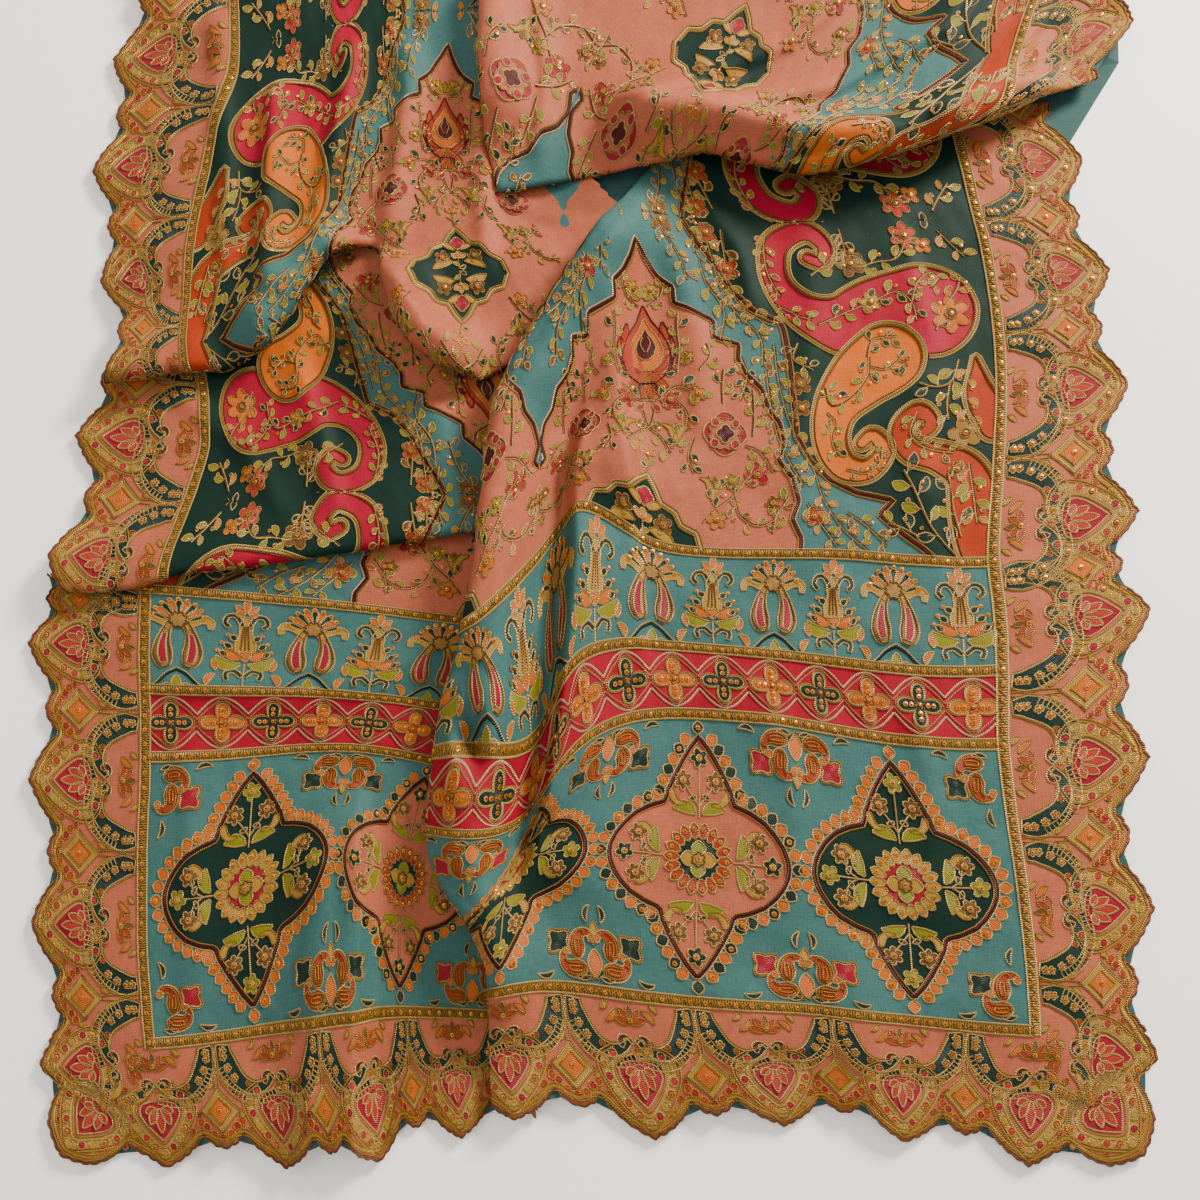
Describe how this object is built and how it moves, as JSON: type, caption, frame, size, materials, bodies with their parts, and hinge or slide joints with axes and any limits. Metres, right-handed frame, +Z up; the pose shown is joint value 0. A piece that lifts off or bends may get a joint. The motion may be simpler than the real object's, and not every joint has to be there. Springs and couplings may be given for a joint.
{
  "type": "dupatta",
  "caption": "Embroidered silk dupatta laid on a table with its folds: end panel, cross strip, field, scalloped borders and gold bands.",
  "frame": {"origin": "bottom centre of the bounding box, on the table", "axes": "+Z up from the table, +Y from the hem's tips in along the cloth's length, +X across the cloth to the viewer's right"},
  "size_m": [0.8373, 0.9064, 0.054],
  "materials": {
    "teal silk": "woven silk with a soft sheen, covered with thread work",
    "dark green silk": "woven silk with a soft sheen, covered with thread work",
    "crimson silk": "woven silk with a soft sheen",
    "pink silk": "woven silk covered with thread work, scalloped edge",
    "gold band": "gold thread couched in rows, glinting"
  },
  "bodies": {
    "root": {"backing_layers": "teal silk", "fold_field": "dark green silk", "fold_side_border": "pink silk", "fold_side_gold_band": "gold band", "left_cross_strip": "crimson silk", "left_end_panel": "teal silk", "left_field": "dark green silk", "left_field_gold_band": "gold band", "left_flower_band": "teal silk", "left_hem_border": "pink silk", "left_hem_gold_band": "gold band", "left_side_border": "pink silk", "left_side_gold_band": "gold band", "left_strip_high_gold_band": "gold band", "left_strip_low_gold_band": "gold band", "right_cross_strip": "crimson silk", "right_end_panel": "teal silk", "right_field": "dark green silk", "right_field_gold_band": "gold band", "right_flower_band": "teal silk", "right_hem_border": "pink silk", "right_hem_gold_band": "gold band", "right_side_border": "pink silk", "right_side_gold_band": "gold band", "right_strip_high_gold_band": "gold band", "right_strip_low_gold_band": "gold band", "top_field": "dark green silk", "top_side_border": "pink silk", "top_side_gold_band": "gold band", "upper_field": "dark green silk", "upper_side_border": "pink silk", "upper_side_gold_band": "gold band"}
  },
  "joints": []
}
